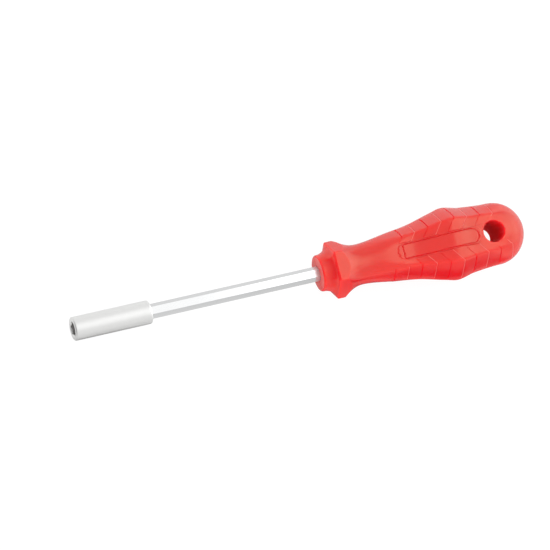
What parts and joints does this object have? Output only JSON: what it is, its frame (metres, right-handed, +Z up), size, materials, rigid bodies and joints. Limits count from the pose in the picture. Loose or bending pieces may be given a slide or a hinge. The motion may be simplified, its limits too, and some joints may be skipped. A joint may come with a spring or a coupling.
{
  "type": "bit holder screwdriver",
  "caption": "Screwdriver for loose hex bits: moulded handle with a hex guard and a hanging hole, hex shank, and a round bit holder with a magnet and a retaining ring.",
  "frame": {"origin": "middle of the tool's footprint, on the table it lies on", "axes": "+X from the bit holder's mouth to the butt of the handle, +Z up out of the table, close to the axis of the hanging hole"},
  "size_m": [0.231, 0.0363, 0.0302],
  "materials": {
    "handle_plastic": "satin-gloss red moulding",
    "shank_chrome": "bright plated",
    "holder_steel": "satin turned",
    "magnet_nickel": "dull nickel",
    "spring_steel": "dark spring wire"
  },
  "bodies": {
    "tool": {"handle": "handle_plastic", "shank": "shank_chrome", "bit_holder": "holder_steel", "magnet": "magnet_nickel"},
    "ring": {"retaining_ring": "spring_steel"}
  },
  "joints": [
    {"name": "retaining_ring_turn", "type": "hinge", "parent": "tool", "child": "ring", "pos_m": [-0.11074, 0, 0.00594], "axis": [0.9988, 0, 0.0487], "continuous": true}
  ]
}
